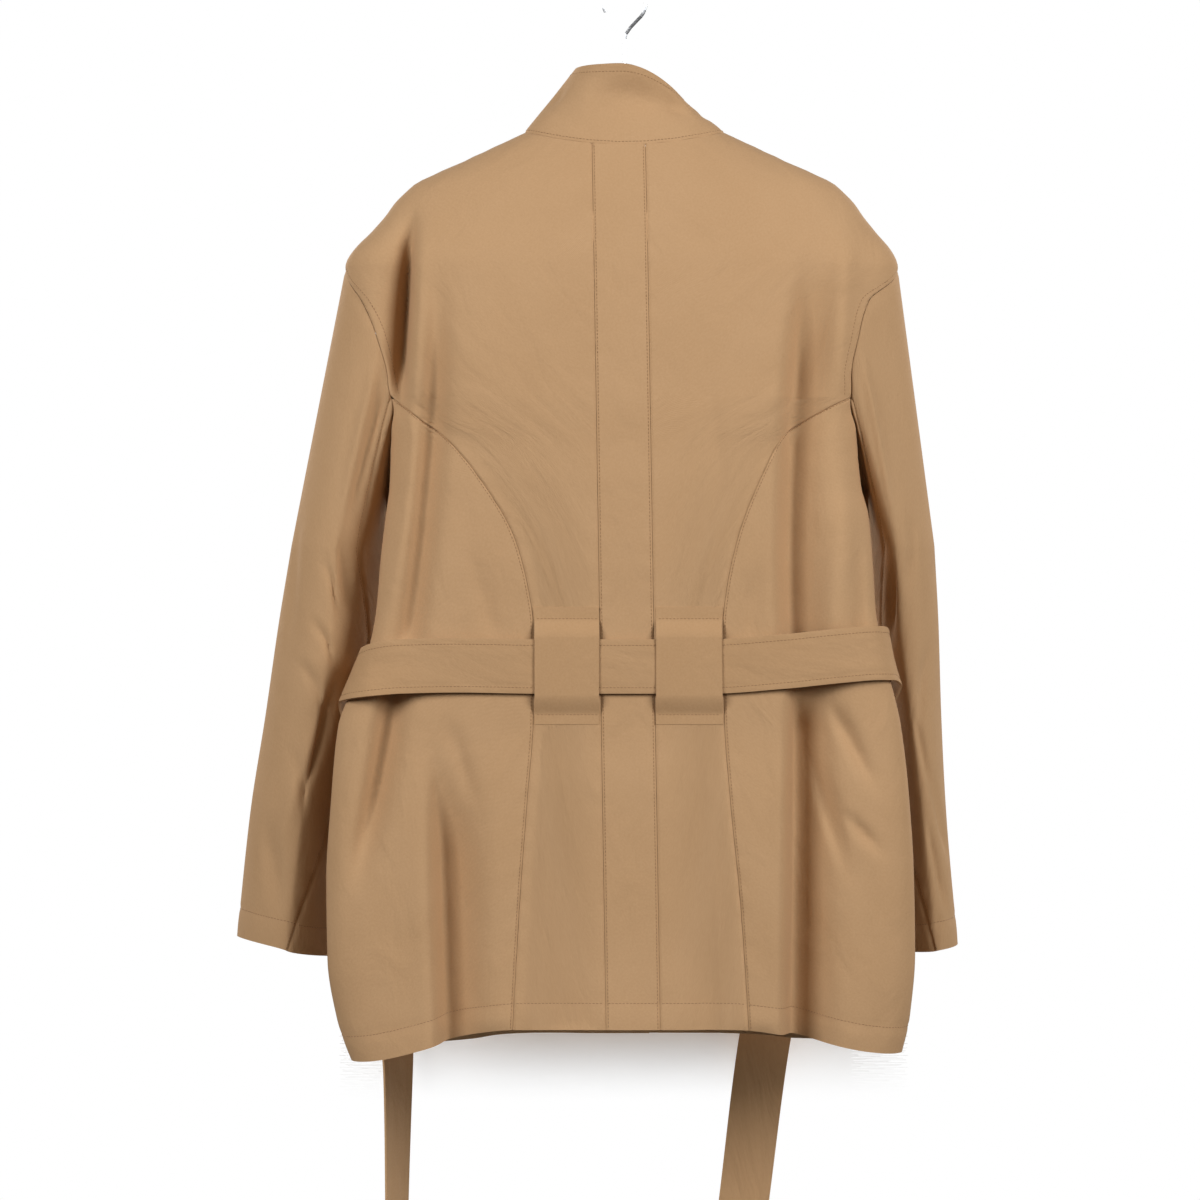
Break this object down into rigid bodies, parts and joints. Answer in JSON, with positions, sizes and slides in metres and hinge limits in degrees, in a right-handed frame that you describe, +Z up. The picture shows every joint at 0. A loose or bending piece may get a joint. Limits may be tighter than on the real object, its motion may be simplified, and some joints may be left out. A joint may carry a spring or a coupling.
{
  "type": "belted blouson jacket on a hanger",
  "caption": "Camel cotton jacket with a stand collar, pieced back, wide belt loops and a cloth belt, hung on a wire-hooked hanger.",
  "frame": {"origin": "top of the hook's inside, where a rail carries the hanger", "axes": "+X towards the wearer's right, +Y towards the jacket's front, +Z up"},
  "size_m": [0.6154, 0.1894, 1.1479],
  "materials": {
    "cotton_twill": "fine matt twill",
    "doubled_twill": "fine matt twill, doubled and edge stitched",
    "beech": "satin lacquer",
    "steel_wire": "bright drawn wire"
  },
  "bodies": {
    "root": {"back_centre": "cotton_twill", "back_left": "cotton_twill", "back_right": "cotton_twill", "side_left": "cotton_twill", "side_right": "cotton_twill", "front_left": "cotton_twill", "front_right": "cotton_twill", "sleeve_left_upper": "cotton_twill", "sleeve_left_under": "cotton_twill", "sleeve_right_upper": "cotton_twill", "sleeve_right_under": "cotton_twill", "collar": "cotton_twill", "belt": "doubled_twill", "belt_loop_left": "doubled_twill", "belt_loop_right": "doubled_twill", "hanger_bar": "beech", "hanger_hook": "steel_wire"}
  },
  "joints": []
}
